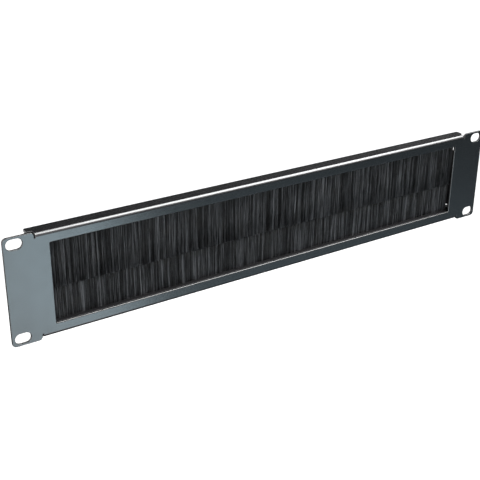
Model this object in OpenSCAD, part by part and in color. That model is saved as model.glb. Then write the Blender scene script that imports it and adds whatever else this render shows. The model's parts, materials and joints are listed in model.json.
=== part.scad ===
// Rack panel, two units high, with a cable aperture closed by two rows of brush.
// X runs along the panel, Y points into the rack and Z points up, in millimetres.
// The origin is the centre of the slot pattern, on the rear face of the ears.

/* [Panel] */
// Width of the panel over both ears
panel_w = 482.6; // [400:0.1:580]
// Height of the ears, two rack units less the usual gap
panel_h = 88.1; // [73:0.1:106]
// Thickness of the sheet
sheet_t = 2.0; // [1.5:0.1:2.5]
// Radius of the ears' outer corners
corner_r = 3.5; // [1:0.5:5]
// Radius of the ears' inner corners, beside the folds
inner_r = 3.0; // [0.5:0.1:3.2]
// Width of each ear, from the panel's end to the relief slit
ear_w = 24.0; // [22:0.2:30]
// How much lower the folded part stands than the ears' edge
fold_step = 1.45; // [0.5:0.05:2.5]
// Depth of the top and bottom flanges, from the front face
flange_d = 14.0; // [13:0.5:20]
// Inside radius of the panel's folds
fold_r = 0.8; // [0.5:0.1:1.2]
// Width of the relief slits at the ends of the folds
relief_w = 0.8; // [0.5:0.1:1.5]
// How far each end of a flange reaches past its fold
wing_l = 4.0; // [1:0.5:5]
// How far the reaching end is set back from the rear face of the ears
wing_back = 4.5; // [2:0.5:6]

/* [Slots] */
// Length of each mounting slot, end to end
slot_l = 12.6; // [9:0.2:14]
// Width of each mounting slot
slot_w = 8.4; // [6.5:0.1:9]
// Distance from the panel's end to the slots' centres
slot_in_x = 8.75; // [8:0.05:10]
// Distance from the ears' top edge to the slots' centres
slot_in_z = 5.95; // [5.5:0.05:7]

/* [Aperture] */
// Distance from the panel's end to the aperture
aperture_in_x = 35.8; // [33:0.1:60]
// Distance from the ears' top edge to the aperture
aperture_in_z = 10.85; // [10.5:0.05:14]
// Radius of the aperture's corners
aperture_r = 0.5; // [0.2:0.1:2]

/* [Brushes] */
// Width of the brush channel across the bristles
channel_w = 4.0; // [3:0.1:5]
// Height of the brush channel along the bristles
channel_h = 4.0; // [3.2:0.1:4.6]
// Thickness of the channel's sheet
channel_t = 0.5; // [0.3:0.1:0.7]
// Thickness of a row of bristles
bristle_t = 2.0; // [1.6:0.1:2.2]
// Diameter of the core wire that the bristles are folded over
wire_d = 1.0; // [0.6:0.1:1.4]
// Distance that each row's tips reach past the panel's centre line
tip_overlap = 5.5; // [0:0.5:12]
// How far each row of bristles runs past the ends of the aperture
bristle_over = 2.0; // [1:0.5:4]
// Gap between the upper row and the lower row behind it
row_gap = 0.2; // [0.1:0.1:1]

/* [Holders] */
// Thickness of the holders' walls
holder_wall = 1.2; // [0.8:0.1:1.6]
// Thickness of the two lips that keep the channel in
lip_t = 1.0; // [0.8:0.1:1.3]
// Clearance of the channel in the holder's pocket, on each side
pocket_gap = 0.1; // [0.05:0.05:0.2]
// Thickness of the plugs' end caps
cap_t = 1.5; // [1:0.1:3]

/* [Clamps] */
// Distance from the washers to both edges of each clamp's flat strap
clamp_edge = 0.35; // [0.2:0.05:1]
// Thickness of the clamps' strap
clamp_t = 1.5; // [1:0.1:1.8]
// Inside radius of the clamps' folds
clamp_r = 0.8; // [0.5:0.1:1]
// Depth of the clamps' side walls, which close the ends of the bristle rows
clamp_wall_d = 8.0; // [4:0.5:10]
// Distance from each clamp's fold down to the washers
washer_drop = 5.6; // [1:0.1:12]
// Diameter of the weld studs' shank
stud_d = 4.0; // [3:0.5:5]
// Length of the weld studs
stud_l = 8.5; // [7.5:0.5:10]

/* [Hidden] */
$fn = 48;

// Panel
end_x = panel_w / 2;
edge_z = panel_h / 2;
fold_ro = fold_r + sheet_t;
fold_z = edge_z - fold_step;
flat_z = fold_z - fold_ro;
slit_x = end_x - ear_w;
fold_x = slit_x - relief_w;
slit_over = 0.5;
slit_z = flat_z - slit_over;
flange_y = flange_d - sheet_t;
wing_x = fold_x + wing_l;
wing_r = 1.5;
slot_x = end_x - slot_in_x;
slot_z = edge_z - slot_in_z;
aperture_x = end_x - aperture_in_x;
aperture_z = edge_z - aperture_in_z;
cut_over = 1.0;

// Holders
holder_gap = 0.2;
holder_z = aperture_z + holder_gap;
holder_h = fold_z - sheet_t - holder_gap - holder_z;
holder_r = fold_r + 0.2;
pocket_w = channel_w + 2 * pocket_gap;
pocket_h = channel_h + 2 * pocket_gap;
row_y = holder_wall + pocket_w / 2;
holder_d = 2 * row_y + bristle_t + row_gap;
mouth_gap = 0.15;
lip_z = holder_z + lip_t;

// Brushes
row_x = aperture_x + bristle_over;
belly_h = 1.2;
wire_z = channel_h - channel_t - wire_d / 2 - 0.4;

// Fixings
collar_d = stud_d + 1.5;
collar_t = 0.8;
clamp_hole_d = collar_d + 0.5;
thread_gap = 0.05;
washer_d = 2.25 * stud_d;
washer_t = 0.8;
washer_bore = stud_d + 0.3;
lock_d = 1.9 * stud_d;
lock_t = 0.9;
lock_slit = 0.8;
lock_tilt = 20;
nut_w = 1.75 * stud_d;
nut_t = 0.8 * stud_d;
nut_edge = 0.5;

// Clamps
clamp_gap = 1.0;
clamp_ro = clamp_r + clamp_t;
clamp_x = row_x + clamp_gap;
strap_x = clamp_x + clamp_ro;
holder_x = strap_x + washer_d + 2 * clamp_edge;
web_z = holder_z - clamp_gap;
base_z = web_z - clamp_ro;
leg_z = holder_z + holder_h - 0.4;
wall_z = base_z - clamp_ro;
clamp_relief = 0.8;
stud_x = (strap_x + holder_x) / 2;
stud_z = base_z - washer_drop - washer_d / 2;

// Extrudes a profile drawn as (y, z) along X, from -half to half
module along_x(half) {
  translate([-half, 0, 0]) rotate([90, 0, 90]) linear_extrude(2 * half) children();
}

// Extrudes an outline drawn as (x, z) forward from the rear face of the ears
module sheet_piece() {
  rotate([90, 0, 0]) linear_extrude(sheet_t) children();
}

// Repeats a shape on both sides of the panel's middle
module both_sides() {
  children();
  mirror([1, 0, 0]) children();
}

// Repeats a shape above and below the panel's centre line
module both_heights() {
  children();
  mirror([0, 0, 1]) children();
}

// Turns an upper piece into the lower one: the same piece turned over
module turned_over() {
  translate([0, holder_d, 0]) rotate([180, 0, 0]) children();
}

// Rectangle from the origin with rounded corners
module round_rect(w, h, r) {
  translate([r, 0]) square([w - 2 * r, h]);
  translate([0, r]) square([w, h - 2 * r]);
  for (x = [r, w - r], y = [r, h - r]) {
    translate([x, y]) circle(r);
  }
}

// Quarter of a ring, in the quadrant given by the signs of sy and sz
module fold(r_in, thick, sy, sz) {
  r_out = r_in + thick;
  intersection() {
    difference() {
      circle(r_out);
      circle(r_in);
    }
    translate([sy < 0 ? -r_out : 0, sz < 0 ? -r_out : 0]) square(r_out);
  }
}

// Slot outline centred on the origin, with round ends
module slot_outline() {
  run = slot_l - slot_w;
  square([run, slot_w], center = true);
  for (side = [-1, 1]) {
    translate([side * run / 2, 0]) circle(d = slot_w);
  }
}

// Right ear, with large outer corners and small ones beside the folds
module ear_outline() {
  reach = end_x - slit_x;
  translate([slit_x, -edge_z]) round_rect(reach - corner_r, panel_h, inner_r);
  translate([slit_x, -edge_z]) round_rect(reach, panel_h, corner_r);
}

module face_outline() {
  difference() {
    union() {
      ear_outline();
      mirror([1, 0]) ear_outline();
      translate([-slit_x, -slit_z]) square([2 * slit_x, 2 * slit_z]);
      translate([-fold_x, -flat_z]) square([2 * fold_x, 2 * flat_z]);
    }
    translate([-aperture_x, -aperture_z]) round_rect(2 * aperture_x, 2 * aperture_z, aperture_r);
    for (x = [-slot_x, slot_x], z = [-slot_z, slot_z]) {
      translate([x, z]) slot_outline();
    }
  }
}

// Top flange seen from above, with ends that reach past the fold
module flange_outline() {
  root_y = fold_r;
  translate([-fold_x, root_y]) square([2 * fold_x, flange_y - root_y]);
  translate([-wing_x, wing_back]) round_rect(2 * wing_x, flange_y - wing_back, wing_r);
}

module top_flange() {
  along_x(fold_x) translate([fold_r, flat_z]) fold(fold_r, sheet_t, -1, 1);
  translate([0, 0, fold_z - sheet_t]) linear_extrude(sheet_t) flange_outline();
}

module panel() {
  color("black") {
    sheet_piece() face_outline();
    both_heights() top_flange();
  }
}

// Extrusion with a pocket for the brush channel and an open groove behind it
module holder_profile() {
  pocket_d = 2 * holder_wall + pocket_w;
  foot_z = holder_h - 2 * holder_wall;
  difference() {
    translate([0, holder_z]) round_rect(holder_d, holder_h, holder_r);
    translate([holder_wall, lip_z]) square([pocket_w, pocket_h]);
    translate([row_y - bristle_t / 2 - mouth_gap, holder_z - cut_over])
      square([bristle_t + 2 * mouth_gap, lip_t + 2 * cut_over]);
    translate([pocket_d, holder_z + holder_wall]) square([holder_d, foot_z]);
  }
}

module upper_holder() {
  color("dimgray") along_x(holder_x) holder_profile();
}

module lower_holder() {
  turned_over() upper_holder();
}

// Channel folded round the bristles, with its mouth crimped onto them
module channel_profile() {
  out = channel_w / 2;
  in = out - channel_t;
  mouth = bristle_t / 2;
  roof = channel_h - channel_t;
  translate([row_y, lip_z])
    polygon([[-mouth, 0], [-in, belly_h], [-in, roof], [in, roof], [in, belly_h], [mouth, 0],
             [mouth + channel_t, 0], [out, belly_h], [out, channel_h], [-out, channel_h],
             [-out, belly_h], [-mouth - channel_t, 0]]);
}

module upper_channel() {
  color("lightgray") along_x(row_x) channel_profile();
}

module lower_channel() {
  turned_over() upper_channel();
}

module upper_core_wire() {
  color("lightgray") along_x(row_x) translate([row_y, lip_z + wire_z]) circle(d = wire_d);
}

module lower_core_wire() {
  turned_over() upper_core_wire();
}

// Row of bristles folded over the wire inside the channel and hanging out of its mouth
module bristle_profile() {
  in = channel_w / 2 - channel_t;
  half = bristle_t / 2;
  roof = channel_h - channel_t;
  tip = -lip_z - tip_overlap;
  translate([row_y, lip_z])
    difference() {
      polygon([[-half, tip], [half, tip], [half, 0], [in, belly_h], [in, roof],
               [-in, roof], [-in, belly_h], [-half, 0]]);
      translate([0, wire_z]) circle(d = wire_d);
    }
}

module upper_bristles() {
  color("black") along_x(row_x) bristle_profile();
}

module lower_bristles() {
  turned_over() upper_bristles();
}

// Plug with a stem in the holder's pocket and a cap over the holder's end
module upper_right_plug() {
  color("black") {
    translate([row_x + pocket_gap, row_y - channel_w / 2, lip_z])
      cube([holder_x - row_x - pocket_gap, channel_w, channel_h]);
    translate([holder_x, 0, 0])
      rotate([90, 0, 90])
        linear_extrude(cap_t)
          translate([0, holder_z]) round_rect(holder_d, holder_h, holder_r);
  }
}

module upper_left_plug() {
  mirror([1, 0, 0]) upper_right_plug();
}

module lower_right_plug() {
  turned_over() upper_right_plug();
}

module lower_left_plug() {
  turned_over() upper_left_plug();
}

// Upper end of a clamp's strap: off the panel, out behind the holder, then up its back
module clamp_end_profile() {
  knee_y = holder_d - clamp_r;
  knee_z = web_z + clamp_r;
  foot_z = wall_z + clamp_relief;
  translate([0, foot_z]) square([clamp_t, base_z - foot_z]);
  translate([clamp_ro, base_z]) fold(clamp_r, clamp_t, -1, 1);
  translate([clamp_ro, web_z - clamp_t]) square([knee_y - clamp_ro, clamp_t]);
  translate([knee_y, knee_z]) fold(clamp_r, clamp_t, 1, -1);
  translate([holder_d, knee_z]) square([clamp_t, leg_z - knee_z]);
}

// Wall folded back from the strap's inner edge, beside the ends of the bristle rows
module clamp_wall() {
  translate([0, 0, -wall_z])
    linear_extrude(2 * wall_z) {
      translate([strap_x, clamp_ro]) fold(clamp_r, clamp_t, -1, -1);
      translate([clamp_x, clamp_ro]) square([clamp_t, clamp_wall_d - clamp_ro]);
    }
}

module right_clamp() {
  color("black")
    difference() {
      union() {
        clamp_wall();
        translate([strap_x, 0, -base_z]) cube([holder_x - strap_x, clamp_t, 2 * base_z]);
        translate([(clamp_x + holder_x) / 2, 0, 0])
          along_x((holder_x - clamp_x) / 2) {
            clamp_end_profile();
            mirror([0, 1]) clamp_end_profile();
          }
      }
      for (z = [-stud_z, stud_z]) {
        translate([stud_x, -cut_over, z])
          rotate([-90, 0, 0]) cylinder(h = clamp_t + 2 * cut_over, d = clamp_hole_d);
      }
    }
}

module left_clamp() {
  mirror([1, 0, 0]) right_clamp();
}

// Puts a fixing drawn along Z on each of the four stud axes, starting at depth y
module on_studs(y) {
  both_sides() both_heights()
    translate([stud_x, y, stud_z]) rotate([-90, 0, 0]) children();
}

module weld_studs() {
  tip_h = 0.5;
  color("goldenrod")
    on_studs(0) {
      cylinder(h = collar_t, d = collar_d);
      cylinder(h = stud_l - tip_h, d = stud_d);
      translate([0, 0, stud_l - tip_h]) cylinder(h = tip_h, d1 = stud_d, d2 = stud_d - 2 * tip_h);
    }
}

module flat_washers() {
  color("silver")
    on_studs(clamp_t)
      difference() {
        cylinder(h = washer_t, d = washer_d);
        translate([0, 0, -cut_over]) cylinder(h = washer_t + 2 * cut_over, d = washer_bore);
      }
}

// Split spring washers, cut through on a slant
module lock_washers() {
  color("silver")
    on_studs(clamp_t + washer_t)
      difference() {
        cylinder(h = lock_t, d = lock_d);
        translate([0, 0, -cut_over]) cylinder(h = lock_t + 2 * cut_over, d = stud_d + 2 * thread_gap);
        translate([lock_d / 2, 0, lock_t / 2])
          rotate([lock_tilt, 0, 0]) cube([lock_d, lock_slit, 4 * lock_t], center = true);
      }
}

// Hexagon nuts with both faces chamfered at the corners
module hex_nuts() {
  corner_d = nut_w / cos(30);
  face_r = nut_w / 2;
  color("silver")
    on_studs(clamp_t + washer_t + lock_t)
      difference() {
        intersection() {
          cylinder(h = nut_t, d = corner_d, $fn = 6);
          rotate_extrude()
            polygon([[0, 0], [face_r, 0], [corner_d / 2 + nut_edge, nut_edge + nut_edge / 2],
                     [corner_d / 2 + nut_edge, nut_t - nut_edge - nut_edge / 2], [face_r, nut_t], [0, nut_t]]);
        }
        translate([0, 0, -cut_over]) cylinder(h = nut_t + 2 * cut_over, d = stud_d + 2 * thread_gap);
      }
}

panel();
upper_holder();
lower_holder();
upper_channel();
lower_channel();
upper_core_wire();
lower_core_wire();
upper_bristles();
lower_bristles();
upper_left_plug();
upper_right_plug();
lower_left_plug();
lower_right_plug();
left_clamp();
right_clamp();
weld_studs();
flat_washers();
lock_washers();
hex_nuts();
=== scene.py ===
"""Looks of the rack brush strip panel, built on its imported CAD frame.

Metres. X runs along the panel, the front faces -Y and Z points up. Every hard piece is the CAD
shape with its edges eased, every row of bristles is made of single filaments, and every material
is built from nodes.
"""

import json
import math
import random

import bmesh
import bpy
from mathutils import Matrix, Vector


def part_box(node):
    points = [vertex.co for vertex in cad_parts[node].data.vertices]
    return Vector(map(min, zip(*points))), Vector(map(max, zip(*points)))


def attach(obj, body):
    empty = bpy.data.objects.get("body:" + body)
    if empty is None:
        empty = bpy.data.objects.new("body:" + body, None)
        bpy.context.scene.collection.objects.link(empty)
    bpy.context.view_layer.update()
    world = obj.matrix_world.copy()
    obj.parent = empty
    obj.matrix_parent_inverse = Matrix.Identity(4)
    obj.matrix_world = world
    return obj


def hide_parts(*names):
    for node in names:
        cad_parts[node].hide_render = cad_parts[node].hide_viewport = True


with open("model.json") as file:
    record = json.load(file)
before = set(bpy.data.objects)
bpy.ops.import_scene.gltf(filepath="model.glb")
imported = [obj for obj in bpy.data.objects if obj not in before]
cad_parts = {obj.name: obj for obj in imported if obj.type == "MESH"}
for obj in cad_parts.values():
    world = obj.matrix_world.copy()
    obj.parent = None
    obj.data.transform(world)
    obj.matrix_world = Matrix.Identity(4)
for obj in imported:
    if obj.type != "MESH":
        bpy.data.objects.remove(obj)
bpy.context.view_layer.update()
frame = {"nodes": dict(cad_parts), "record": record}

MM = 0.001
BODY = "root"
NODES = frame["nodes"]
# Corners of a CAD mesh that lie nearer than this are one corner
WELD = 0.002 * MM

# ---------------------------------------------------------------- shader helpers


class Shader:
    """A material's node tree with short calls for the nodes that the finishes below share."""

    def __init__(self, name):
        self.material = bpy.data.materials.new(name)
        self.material.use_nodes = True
        self.tree = self.material.node_tree
        self.nodes = self.tree.nodes
        self.bsdf = self.nodes["Principled BSDF"]
        self.place = self.nodes.new("ShaderNodeTexCoord").outputs["Object"]

    def link(self, source, target):
        self.tree.links.new(source, target)
        return self

    def put(self, socket, value):
        """Sets a number or colour on the Principled shader, or links an output to its socket."""
        target = self.bsdf.inputs[socket]
        if isinstance(value, bpy.types.NodeSocket):
            self.link(value, target)
        else:
            target.default_value = value
        return self

    def stretched(self, scale):
        """Object coordinates scaled per axis, in features per metre."""
        node = self.nodes.new("ShaderNodeMapping")
        node.inputs["Scale"].default_value = scale
        self.link(self.place, node.inputs["Vector"])
        return node.outputs["Vector"]

    def noise(self, scale, detail=2.0, vector=None, distortion=0.0):
        """Soft noise in features per metre, from about 0.3 to 0.7."""
        node = self.nodes.new("ShaderNodeTexNoise")
        node.inputs["Scale"].default_value = scale
        node.inputs["Detail"].default_value = detail
        node.inputs["Distortion"].default_value = distortion
        self.link(vector or self.place, node.inputs["Vector"])
        return node.outputs["Fac"]

    def cells(self, scale):
        """Random flat cells, in cells per metre."""
        node = self.nodes.new("ShaderNodeTexVoronoi")
        node.inputs["Scale"].default_value = scale
        self.link(self.place, node.inputs["Vector"])
        return node.outputs["Color"]

    def distance(self):
        """Distance from the object's origin, in metres."""
        node = self.nodes.new("ShaderNodeVectorMath")
        node.operation = "LENGTH"
        self.link(self.place, node.inputs[0])
        return node.outputs["Value"]

    def axis(self, name):
        """One object coordinate, in metres."""
        node = self.nodes.new("ShaderNodeSeparateXYZ")
        self.link(self.place, node.inputs[0])
        return node.outputs[name]

    def attribute(self, name):
        """A number that the mesh carries on its faces."""
        node = self.nodes.new("ShaderNodeAttribute")
        node.attribute_name = name
        return node.outputs["Fac"]

    def spread(self, value, low, high, start=0.3, end=0.7):
        """Maps a value from the range start..end to low..high."""
        node = self.nodes.new("ShaderNodeMapRange")
        node.inputs["From Min"].default_value = start
        node.inputs["From Max"].default_value = end
        node.inputs["To Min"].default_value = low
        node.inputs["To Max"].default_value = high
        self.link(value, node.inputs["Value"])
        return node.outputs["Result"]

    def times(self, a, b):
        """Multiplies an output by a number or another output."""
        node = self.nodes.new("ShaderNodeMath")
        node.operation = "MULTIPLY"
        self.link(a, node.inputs[0])
        if isinstance(b, bpy.types.NodeSocket):
            self.link(b, node.inputs[1])
        else:
            node.inputs[1].default_value = b
        return node.outputs[0]

    def blend(self, factor, a, b):
        """Mixes two colours, each an (r, g, b) tuple or an output."""
        node = self.nodes.new("ShaderNodeMix")
        node.data_type = "RGBA"
        self.link(factor, node.inputs["Factor"])
        for socket, colour in ((node.inputs[6], a), (node.inputs[7], b)):
            if isinstance(colour, bpy.types.NodeSocket):
                self.link(colour, socket)
            else:
                socket.default_value = (*colour, 1.0)
        return node.outputs[2]

    def bump(self, height, distance, strength, below=None):
        """Relief of a depth in metres, laid over the relief below it if there is one."""
        node = self.nodes.new("ShaderNodeBump")
        node.inputs["Strength"].default_value = strength
        node.inputs["Distance"].default_value = distance
        self.link(height, node.inputs["Height"])
        if below:
            self.link(below, node.inputs["Normal"])
        return node.outputs["Normal"]

    def edge_wear_and_highlight(self, noise, start, end):
        """How worn the rounded edges are, and on the powder coat also how lit as a painted
        highlight: nothing where the noise is under start, all over end.
        """
        return self.times(self.attribute("edge"), self.spread(noise, 0.0, 1.0, start, end))


# ---------------------------------------------------------------- finishes


def powder_coat():
    """Satin black powder coat: a fine even texture, faint clouding and slightly rubbed edges,
    whose lightening is partly a painted highlight.
    """
    s = Shader("satin_powder_coat")
    clouds = s.noise(28.0, 3.0)
    # The rounded edges are lightened partly as rubbed paint and partly as a painted highlight
    rubbed_and_highlit = s.edge_wear_and_highlight(s.noise(420.0, 4.0), 0.45, 0.7)
    paint = s.blend(clouds, (0.0062, 0.0065, 0.007), (0.0078, 0.0081, 0.0088))
    s.put("Base Color", s.blend(rubbed_and_highlit, paint, (0.045, 0.045, 0.047)))
    s.put("Roughness", s.spread(s.noise(90.0, 3.0), 0.24, 0.27))
    s.put("IOR", 1.5).put("Specular IOR Level", 1.0)
    orange_peel = s.bump(s.noise(650.0, 1.0), 0.05 * MM, 0.35)
    s.put("Normal", s.bump(s.noise(2600.0, 2.0), 0.02 * MM, 0.5, orange_peel))
    return s.material


def anodised_extrusion():
    """Black anodised aluminium with faint die lines along X."""
    s = Shader("black_anodised_extrusion")
    lines = s.noise(1.0, 3.0, s.stretched((6.0, 2600.0, 2600.0)))
    rubbed_and_highlit = s.edge_wear_and_highlight(s.noise(500.0, 3.0), 0.5, 0.7)
    dye = s.blend(s.noise(40.0), (0.013, 0.013, 0.014), (0.022, 0.022, 0.024))
    s.put("Base Color", s.blend(rubbed_and_highlit, dye, (0.16, 0.16, 0.165)))
    s.put("Metallic", 0.35).put("Roughness", s.spread(lines, 0.34, 0.5))
    s.put("Normal", s.bump(lines, 0.02 * MM, 0.5))
    return s.material


def galvanised_channel():
    """Galvanised strip: spangle, grey patches and drawing lines along X."""
    s = Shader("galvanised_strip")
    spangle = s.cells(330.0)
    lines = s.noise(1.0, 2.0, s.stretched((10.0, 3000.0, 3000.0)))
    s.put("Base Color", s.blend(spangle, (0.44, 0.45, 0.46), (0.62, 0.63, 0.64)))
    s.put("Metallic", 1.0).put("Roughness", s.spread(s.noise(160.0, 3.0), 0.3, 0.52))
    s.put("Normal", s.bump(lines, 0.01 * MM, 0.4))
    return s.material


def drawn_wire():
    """Bright drawn wire with die lines along X and a few dull patches."""
    s = Shader("drawn_wire")
    lines = s.noise(1.0, 3.0, s.stretched((15.0, 5000.0, 5000.0)))
    s.put("Base Color", s.blend(s.noise(120.0), (0.4, 0.41, 0.42), (0.58, 0.59, 0.6)))
    s.put("Metallic", 1.0).put("Roughness", s.spread(lines, 0.22, 0.42))
    s.put("Normal", s.bump(lines, 0.01 * MM, 0.4))
    return s.material


def nylon():
    """Black nylon filament: each has its own shade, with streaks along it and dusty patches."""
    s = Shader("black_nylon_filament")
    streaks = s.spread(s.noise(1.0, 2.0, s.stretched((900.0, 500.0, 45.0))), 0.3, 1.7, 0.36, 0.64)
    shade = s.times(s.attribute("shade"), streaks)
    tone = s.blend(shade, (0.0008, 0.0008, 0.0009), (0.17, 0.175, 0.185))
    dusty = s.times(s.spread(s.noise(70.0, 4.0), 0.0, 1.0, 0.5, 0.75), 0.35)
    s.put("Base Color", s.blend(dusty, tone, (0.05, 0.049, 0.047)))
    s.put("Roughness", s.spread(s.noise(240.0, 2.0), 0.4, 0.55))
    s.put("IOR", 1.53).put("Specular IOR Level", 0.22)
    s.put("Normal", s.bump(s.noise(3000.0, 2.0), 0.01 * MM, 0.3))
    return s.material


def moulded_plastic():
    """Black moulded plastic with a matt spark-eroded skin."""
    s = Shader("black_moulded_plastic")
    scuffed = s.edge_wear_and_highlight(s.noise(700.0, 3.0), 0.5, 0.7)
    skin = s.blend(s.noise(60.0), (0.014, 0.014, 0.015), (0.024, 0.024, 0.025))
    s.put("Base Color", s.blend(scuffed, skin, (0.07, 0.07, 0.07)))
    s.put("Roughness", s.spread(s.noise(200.0, 3.0), 0.5, 0.66))
    s.put("Normal", s.bump(s.noise(3200.0, 2.0), 0.02 * MM, 0.6))
    return s.material


def zinc_plate(name, pale, dark):
    """Bright zinc plate: blue-grey with faint yellow clouds, and brighter along rubbed edges."""
    s = Shader(name)
    clouds = s.spread(s.noise(110.0, 4.0, distortion=0.6), 0.0, 1.0)
    rubbed_and_highlit = s.edge_wear_and_highlight(s.noise(900.0, 3.0), 0.45, 0.65)
    s.put("Base Color", s.blend(rubbed_and_highlit, s.blend(clouds, dark, pale), (0.8, 0.8, 0.79)))
    s.put("Metallic", 1.0).put("Roughness", s.spread(s.noise(260.0, 4.0), 0.2, 0.42))
    s.put("Normal", s.bump(s.noise(1800.0, 3.0), 0.01 * MM, 0.5))
    return s.material


def copper_flash():
    """Copper-flashed steel of a weld stud, browned in patches."""
    s = Shader("copper_flashed_steel")
    browned = s.spread(s.noise(300.0, 4.0), 0.0, 1.0)
    s.put("Base Color", s.blend(browned, (0.68, 0.37, 0.24), (0.36, 0.19, 0.12)))
    s.put("Metallic", 1.0).put("Roughness", s.spread(s.noise(500.0, 3.0), 0.26, 0.48))
    s.put("Normal", s.bump(s.noise(2200.0, 3.0), 0.01 * MM, 0.5))
    return s.material


# ---------------------------------------------------------------- hard pieces

# Edges that turn by more than this are rounded
SHARP = math.radians(28)
# Faces that turn by less than this against each other are one flat face
FLAT = math.radians(0.8)
# Material index that the bevel gives to the faces of the rounding
ROUNDING = 1
# What the panel's other edges have of the aperture's rounding
CRISP = 0.42


def finished(mesh, name, material, slot, *nodes):
    """Links a mesh as a piece that stands for CAD nodes and rides on the part's one body."""
    piece = bpy.data.objects.new(name, mesh)
    bpy.context.scene.collection.objects.link(piece)
    mesh.materials.clear()
    mesh.materials.append(material)
    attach(piece, BODY)
    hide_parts(*nodes)


def welded_copy(node):
    """The CAD node's mesh with its split corners joined and its flat faces whole."""
    bm = bmesh.new()
    bm.from_mesh(NODES[node].data)
    bmesh.ops.remove_doubles(bm, verts=bm.verts, dist=WELD)
    bmesh.ops.dissolve_limit(bm, angle_limit=FLAT, verts=bm.verts, edges=bm.edges)
    mesh = bpy.data.meshes.new(f"{node}_shape")
    bm.to_mesh(mesh)
    bm.free()
    return mesh


def weigh_edges(mesh, share):
    """Writes each sharp edge's share of the rounding, which share() gives for its middle."""
    bm = bmesh.new()
    bm.from_mesh(mesh)
    layer = bm.edges.layers.float.new("bevel_weight_edge")
    for edge in bm.edges:
        sharp = edge.is_manifold and edge.calc_face_angle() > SHARP
        edge[layer] = share((edge.verts[0].co + edge.verts[1].co) / 2) if sharp else 0.0
    bm.to_mesh(mesh)
    bm.free()


def eased(mesh, name, radius, segments, share=None):
    """Rounds a mesh's sharp edges, and marks the faces of the rounding in the attribute 'edge'."""
    if share:
        weigh_edges(mesh, share)
    mesh.shade_smooth()
    draft = bpy.data.objects.new(f"{name}_draft", mesh)
    bpy.context.scene.collection.objects.link(draft)
    bevel = draft.modifiers.new("ease", "BEVEL")
    bevel.width = radius
    bevel.segments = segments
    bevel.limit_method = "WEIGHT" if share else "ANGLE"
    bevel.angle_limit = SHARP
    bevel.use_clamp_overlap = False
    bevel.material = ROUNDING
    weigh = draft.modifiers.new("weigh", "WEIGHTED_NORMAL")
    weigh.weight = 100
    weigh.keep_sharp = True
    for _ in range(ROUNDING + 1):
        mesh.materials.append(None)
    graph = bpy.context.evaluated_depsgraph_get()
    shape = bpy.data.meshes.new_from_object(draft.evaluated_get(graph))
    bpy.data.objects.remove(draft)
    shape.name = name
    edge = shape.attributes.new("edge", "FLOAT", "FACE")
    edge.data.foreach_set("value", [float(p.material_index == ROUNDING) for p in shape.polygons])
    for polygon in shape.polygons:
        polygon.material_index = 0
    return shape


def hard_piece(node, material, slot, radius, segments=2, share=None):
    """The CAD node's own shape with its sharp edges rounded to a radius."""
    name = f"{node}_finished"
    shape = eased(welded_copy(node), name, radius, segments, share)
    finished(shape, name, material, slot, node)


def panel_share(middle):
    """The punch draws in the aperture's front edge, so it's the roundest. The rest is crisper."""
    near = 1.5 * MM
    front = middle.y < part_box("panel")[0].y + 0.1 * MM
    beside = abs(middle.x) < APERTURE[1][0] + near
    level = abs(middle.z) < APERTURE[1][2] + near
    return 1.0 if front and beside and level else CRISP


# ---------------------------------------------------------------- bristles

FILAMENTS = 13500  # in each row
FILAMENT_R = 0.14 * MM
SIDES = 3

# Spreads of the random draws: (low, high) for even ones, a deviation for normal ones.
# Lengths are in millimetres and leans are sideways travel per length.
TUFT_WIDTH = (0.5, 1.5)
TUFT_GAP = (-0.05, 0.1)  # mean and deviation
TUFT_LEAN = 0.008
TUFT_REACH = 0.2
TUFT_TONE = (0.4, 0.18)  # mean and deviation
OWN_LEAN = 0.012
OWN_REACH = 0.5
OWN_TONE = 0.25
STRAY_CHANCE = 0.012
STRAY_LEAN = 0.07
PINCH = (0.05, 0.35)
BOW = 0.12
THICKNESS = (0.8, 1.15)


def filament(verts, faces, path, radius, turn):
    """Adds a three-sided filament along a path of points, closed at its tip."""
    start = len(verts)
    for x, y, z in path:
        for side in range(SIDES):
            angle = turn + side * math.tau / SIDES
            verts.append((x + radius * math.cos(angle), y + radius * math.sin(angle), z))
    for ring in range(len(path) - 1):
        low = start + SIDES * ring
        high = low + SIDES
        for side in range(SIDES):
            after = (side + 1) % SIDES
            faces.append((low + side, low + after, high + after, high + side))
    tip = start + SIDES * (len(path) - 1)
    faces.append(tuple(range(tip, tip + SIDES)))


def tufts(rng, first, last):
    """Splits a run along X into uneven tufts: (centre, half width, lean, extra length)."""
    x = first
    while x < last:
        width = rng.uniform(*TUFT_WIDTH) * MM
        lean = rng.gauss(0.0, TUFT_LEAN)
        yield x + width / 2, width / 2, lean, rng.gauss(0.0, TUFT_REACH) * MM
        x += width + max(0.0, rng.gauss(*TUFT_GAP)) * MM


def curtain(verts, faces, shades, rng, low, high, root_z, end_z):
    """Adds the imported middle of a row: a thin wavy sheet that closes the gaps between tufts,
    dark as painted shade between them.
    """
    step, half_t = 0.5 * MM, 0.25 * MM
    wave, ragged = 0.2, 0.8  # millimetres, across the row and at its tips
    # Painted shade: the sheet is much darker than the filaments, standing in for the shade deep
    # between the tufts
    painted_gap_shade = 0.02
    middle_y = (low.y + high.y) / 2
    count = int((high.x - low.x) / step)
    first = len(verts)
    for i in range(count + 1):
        x = low.x + (high.x - low.x) * i / count
        y = middle_y + rng.uniform(-wave, wave) * MM
        end = end_z + rng.uniform(-ragged, ragged) * MM
        for offset in (-half_t, half_t):
            verts.append((x, y + offset, root_z))
            verts.append((x, y + offset, end))
    for i in range(count):
        a = first + 4 * i
        b = a + 4
        front = (a, b, b + 1, a + 1)
        back = (a + 2, a + 3, b + 3, b + 2)
        tips = (a + 1, b + 1, b + 3, a + 3)
        faces.extend((front, back, tips))
        shades.extend([painted_gap_shade] * 3)


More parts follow.
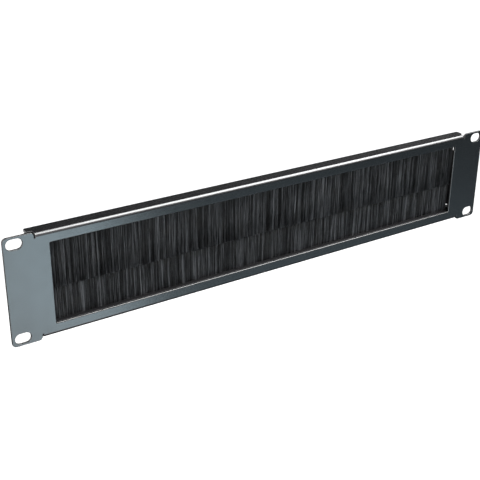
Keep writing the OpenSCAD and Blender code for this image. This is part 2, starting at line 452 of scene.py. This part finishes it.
def bristle_row(node, root_z, tip_z, seed, slot, material):
    """A row of filaments in the space of its CAD slab, from the channel's mouth to the tips."""
    rng = random.Random(seed)
    low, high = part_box(node)
    radius = FILAMENT_R
    verts, faces, shades = [], [], []
    tips_past_curtain = 3.0 * MM
    curtain_z = tip_z + math.copysign(tips_past_curtain, root_z - tip_z)
    curtain(verts, faces, shades, rng, low, high, root_z, curtain_z)
    way = 1 if tip_z > root_z else -1
    length = abs(tip_z - root_z)
    middle_y = (low.y + high.y) / 2
    half_y = (high.y - low.y) / 2 - 1.5 * radius
    per_metre = FILAMENTS / (high.x - low.x)
    for centre, half, lean, extra in tufts(rng, low.x + radius, high.x - radius):
        tone = rng.gauss(*TUFT_TONE)
        for _ in range(round(2 * half * per_metre)):
            across = rng.uniform(-1.0, 1.0)
            x = centre + across * half
            y = middle_y + rng.uniform(-1.0, 1.0) * half_y
            own_lean = lean + rng.gauss(0.0, OWN_LEAN)
            if rng.random() < STRAY_CHANCE:
                own_lean += rng.gauss(0.0, STRAY_LEAN)
            pinch = -across * half * rng.uniform(*PINCH)
            reach = length + extra + rng.gauss(0.0, OWN_REACH) * MM
            bow = rng.gauss(0.0, BOW) * MM
            path = []
            for t in (0.0, 0.5, 1.0):
                shift = own_lean * length * t + pinch * t * t + bow * math.sin(math.pi * t)
                px = min(max(x + shift, low.x + radius), high.x - radius)
                path.append((px, y, root_z + way * reach * t))
            before = len(faces)
            thick = radius * rng.uniform(*THICKNESS)
            filament(verts, faces, path, thick, rng.uniform(0.0, math.tau))
            shade = min(max(tone + rng.gauss(0.0, OWN_TONE), 0.0), 1.0) ** 2
            shades.extend([shade] * (len(faces) - before))
    mesh = bpy.data.meshes.new(f"{node}_filaments")
    mesh.from_pydata(verts, [], faces)
    mesh.attributes.new("shade", "FLOAT", "FACE").data.foreach_set("value", shades)
    for polygon in mesh.polygons:
        polygon.use_smooth = len(polygon.vertices) == 4
    finished(mesh, f"{node}_filaments", material, slot, node)


# ---------------------------------------------------------------- threads


def solids_of(node):
    """Splits a CAD node's vertices into its separate solids, each a list of points."""
    bm = bmesh.new()
    bm.from_mesh(NODES[node].data)
    bmesh.ops.remove_doubles(bm, verts=bm.verts, dist=WELD)
    left = set(bm.verts)
    solids = []
    while left:
        stack = [left.pop()]
        found = list(stack)
        while stack:
            for edge in stack.pop().link_edges:
                for vert in edge.verts:
                    if vert in left:
                        left.remove(vert)
                        stack.append(vert)
                        found.append(vert)
        solids.append([v.co.copy() for v in found])
    bm.free()
    return sorted(solids, key=lambda points: tuple(points[0]))


def threaded_studs(node, pitch, depth, collar, slot, material):
    """The four weld studs, with the collar at the sheet and a real helical thread on the shank."""
    verts, faces = [], []
    around, per_pitch = 20, 5
    collar_rim, chamfer, run_out = 0.75 * MM, 0.15 * MM, 0.6 * MM
    for solid in solids_of(node):
        low = Vector([min(v[a] for v in solid) for a in range(3)])
        high = Vector([max(v[a] for v in solid) for a in range(3)])
        axis_x, axis_z = (low.x + high.x) / 2, (low.z + high.z) / 2
        collar_r = (high.x - low.x) / 2
        shank_r = collar_r - collar_rim
        shank_y, shank_l = low.y + collar, high.y - low.y - collar
        steps = round(shank_l / pitch * per_pitch)
        # Rings of (y, radius). A ring without a radius gets the thread's.
        rings = [(low.y, 0.0), (low.y, collar_r), (shank_y - chamfer, collar_r),
                 (shank_y, collar_r - chamfer), (shank_y, None)]
        rings += [(shank_y + shank_l * i / steps, None) for i in range(1, steps + 1)]
        rings.append((high.y, 0.0))
        first = len(verts)
        for y, r in rings:
            for i in range(around):
                angle = math.tau * i / around
                radius = r
                if r is None:
                    turn = (y / pitch - i / around) % 1.0
                    ridge = 1.0 - abs(2.0 * turn - 1.0)
                    taper = min(1.0, max(0.0, (high.y - y) / run_out))
                    radius = shank_r - depth * (1.0 - ridge * taper)
                across, up = radius * math.cos(angle), radius * math.sin(angle)
                verts.append((axis_x + across, y, axis_z + up))
        for ring in range(len(rings) - 1):
            for i in range(around):
                a = first + ring * around + i
                b = first + ring * around + (i + 1) % around
                faces.append((a, b, b + around, a + around))
    mesh = bpy.data.meshes.new(f"{node}_threaded")
    mesh.from_pydata(verts, [], faces)
    bm = bmesh.new()
    bm.from_mesh(mesh)
    bmesh.ops.remove_doubles(bm, verts=bm.verts, dist=0.001 * MM)
    bmesh.ops.recalc_face_normals(bm, faces=bm.faces)
    bm.to_mesh(mesh)
    bm.free()
    for polygon in mesh.polygons:
        polygon.use_smooth = True
    mesh.set_sharp_from_angle(angle=SHARP)
    finished(mesh, f"{node}_threaded", material, slot, node)


# ---------------------------------------------------------------- the part

paint = powder_coat()
anodised = anodised_extrusion()
galvanised = galvanised_channel()
wire = drawn_wire()
filaments = nylon()
plastic = moulded_plastic()
washer_zinc = zinc_plate("washer_zinc_plate", (0.7, 0.69, 0.64), (0.54, 0.56, 0.6))
nut_zinc = zinc_plate("nut_zinc_plate", (0.67, 0.66, 0.62), (0.48, 0.5, 0.54))
copper = copper_flash()

OPENINGS = frame["record"]["physics"]["openings"]
APERTURE = next(o["box_m"] for o in OPENINGS if o["name"] == "cable_aperture_front")
hard_piece("panel", paint, "panel_black", 0.95 * MM, 4, panel_share)
for side in ("upper", "lower"):
    hard_piece(f"{side}_holder", anodised, "holder_black", 0.12 * MM)
    hard_piece(f"{side}_channel", galvanised, "channel_steel", 0.06 * MM)
    hard_piece(f"{side}_core_wire", wire, "wire_steel", 0.08 * MM)
    for end in ("left", "right"):
        hard_piece(f"{side}_{end}_plug", plastic, "plug_black", 0.25 * MM)
for end in ("left", "right"):
    hard_piece(f"{end}_clamp", paint, "clamp_black", 0.15 * MM)
hard_piece("flat_washers", washer_zinc, "washer_zinc", 0.08 * MM)
hard_piece("lock_washers", washer_zinc, "washer_zinc", 0.06 * MM)
hard_piece("hex_nuts", nut_zinc, "nut_zinc", 0.08 * MM)
threaded_studs("weld_studs", 0.7 * MM, 0.43 * MM, 0.8 * MM, "stud_copper", copper)

# The filaments start just inside the channels' mouths, which lie evenly about the centre line
inside_mouth = 0.6 * MM
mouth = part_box("upper_channel")[0].z + inside_mouth
upper_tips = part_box("upper_bristles")[0].z
lower_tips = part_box("lower_bristles")[1].z
bristle_row("upper_bristles", mouth, upper_tips, 11, "bristle_black", filaments)
bristle_row("lower_bristles", -mouth, lower_tips, 23, "bristle_black", filaments)

# ---------------------------------------------------------------- stage


def quad(name, corners, shader):
    """A flat stage piece between four corners."""
    mesh = bpy.data.meshes.new(name)
    mesh.from_pydata(corners, [], [(0, 1, 2, 3)])
    mesh.materials.append(shader.material)
    item = bpy.data.objects.new(name, mesh)
    bpy.context.scene.collection.objects.link(item)
    return item


def looking_at_it(nodes, links):
    """One for rays from the camera, off a gloss or through glass, and zero for all others."""
    rays = nodes.new("ShaderNodeLightPath")
    total = rays.outputs["Is Camera Ray"]
    for kind in ("Is Glossy Ray", "Is Transmission Ray"):
        add = nodes.new("ShaderNodeMath")
        add.operation = "ADD"
        add.use_clamp = True
        links.new(total, add.inputs[0])
        links.new(rays.outputs[kind], add.inputs[1])
        total = add.outputs[0]
    return total


def white_floor(z):
    """A pale floor well below the part, white to the camera, which keeps the part's shadow."""
    reach = 12.0
    s = Shader("pale_floor")
    s.put("Base Color", s.blend(s.noise(0.7), (0.79, 0.79, 0.79), (0.81, 0.81, 0.81)))
    s.put("Roughness", 0.9)
    s.put("Emission Color", (1.0, 1.0, 1.0, 1.0))
    # The lamps light the floor below the part, so it glows less there than far away
    glow = s.spread(s.distance(), 0.3, 1.0, 0.6, 2.2)
    s.put("Emission Strength", s.times(looking_at_it(s.nodes, s.tree.links), glow))
    corners = [(-reach, -reach, z), (reach, -reach, z), (reach, reach, z), (-reach, reach, z)]
    quad("floor", corners, s)


def world_light(strength):
    """An even grey world that the camera and glossy surfaces see as white."""
    world = bpy.data.worlds.new("studio")
    bpy.context.scene.world = world
    world.use_nodes = True
    nodes, links = world.node_tree.nodes, world.node_tree.links
    background = nodes["Background"]
    background.inputs["Color"].default_value = (1.0, 1.0, 1.0, 1.0)
    level = nodes.new("ShaderNodeMapRange")
    level.inputs["To Min"].default_value = strength
    level.inputs["To Max"].default_value = 1.0
    links.new(looking_at_it(nodes, links), level.inputs["Value"])
    links.new(level.outputs["Result"], background.inputs["Strength"])


def painted_reflection_card(name, corners, glow=0.0):
    """A dark studio card that only gloss shows, so it blocks no light: a painted dark reflection.
    Where it glows, at one end, it paints a reflection of light.
    """
    s = Shader(name)
    s.put("Base Color", (0.0, 0.0, 0.0, 1.0))
    s.put("Roughness", 1.0).put("Specular IOR Level", 0.0)
    if glow:
        # The glow, a painted reflection of light, is strongest at the card's foot, and fades
        # upwards and along X
        upwards = s.spread(s.axis("Z"), glow, 0.1 * glow, -0.42, -0.15)
        along = s.spread(s.axis("X"), 1.0, 0.45, 0.45, 0.95)
        s.put("Emission Color", (0.68, 0.88, 1.0, 1.0))
        s.put("Emission Strength", s.times(upwards, along))
    item = quad(name, corners, s)
    item.visible_camera = item.visible_diffuse = False
    item.visible_shadow = item.visible_transmission = False


def softbox(name, place, target, size, radiance, colour):
    """A rectangular lamp aimed at a point. Its power follows from its radiance and area."""
    lamp = bpy.data.lights.new(name, "AREA")
    lamp.shape = "RECTANGLE"
    lamp.size, lamp.size_y = size
    lamp.energy = radiance * math.pi * size[0] * size[1]
    lamp.color = colour
    item = bpy.data.objects.new(name, lamp)
    item.location = place
    item.rotation_euler = (Vector(target) - Vector(place)).to_track_quat("-Z", "Y").to_euler()
    item.visible_camera = False
    bpy.context.scene.collection.objects.link(item)


def camera(place, azimuth, elevation, roll, lens):
    """A camera that looks along an azimuth from +Y towards +X and down by an elevation."""
    az, el = math.radians(azimuth), math.radians(elevation)
    look = Vector((math.sin(az) * math.cos(el), math.cos(az) * math.cos(el), -math.sin(el)))
    item = bpy.data.objects.new("camera", bpy.data.cameras.new("camera"))
    item.data.lens = lens
    item.data.sensor_width = 36.0
    item.location = place
    turn = look.to_track_quat("-Z", "Y").to_matrix().to_4x4()
    item.rotation_euler = (turn @ Matrix.Rotation(math.radians(roll), 4, "Z")).to_euler()
    bpy.context.scene.collection.objects.link(item)
    bpy.context.scene.camera = item


WHITE = (1.0, 1.0, 1.0)
COOL = (0.58, 0.86, 1.0)
FLOOR_Z = -0.55
REFLECTION_CARD_Z = -0.545  # just over the floor
NEAR_Y, BACK_Y = -0.35, 1.2
RIGHT_X = 1.9

white_floor(FLOOR_Z)
world_light(0.12)
softbox("overhead", (0.55, -0.08, 0.95), (0.0, 0.0, 0.0), (1.1, 0.95), 12.0, WHITE)
softbox("front_left", (-0.85, -0.85, 0.28), (-0.15, 0.0, 0.0), (0.5, 0.5), 6.0, WHITE)
softbox("low_front", (0.08, -0.70, -0.30), (-0.12, 0.0, 0.0), (0.28, 0.36), 2.85, COOL)
# Painted reflections that only gloss shows: a glowing slope in front on the right, and dark cards
# for the floor under and behind the part and for a wall behind it
painted_reflection_card("front_painted_reflection", [(0.12, NEAR_Y, REFLECTION_CARD_Z), (RIGHT_X, NEAR_Y, REFLECTION_CARD_Z),
                    (RIGHT_X, -1.0, 0.3), (0.12, -1.0, 0.3)], 0.75)
painted_reflection_card("under_painted_reflection", [(-1.5, NEAR_Y, REFLECTION_CARD_Z), (RIGHT_X, NEAR_Y, REFLECTION_CARD_Z),
                    (RIGHT_X, BACK_Y, REFLECTION_CARD_Z), (-1.5, BACK_Y, REFLECTION_CARD_Z)])
painted_reflection_card("rear_painted_reflection", [(-0.3, BACK_Y, 0.2), (2.4, BACK_Y, 0.2),
                   (2.4, BACK_Y, 1.4), (-0.3, BACK_Y, 1.4)])
camera((-0.4292, -0.5835, 0.3073), 33.79, 24.02, 0.454, 68.97)

bpy.context.scene.view_settings.view_transform = "Standard"
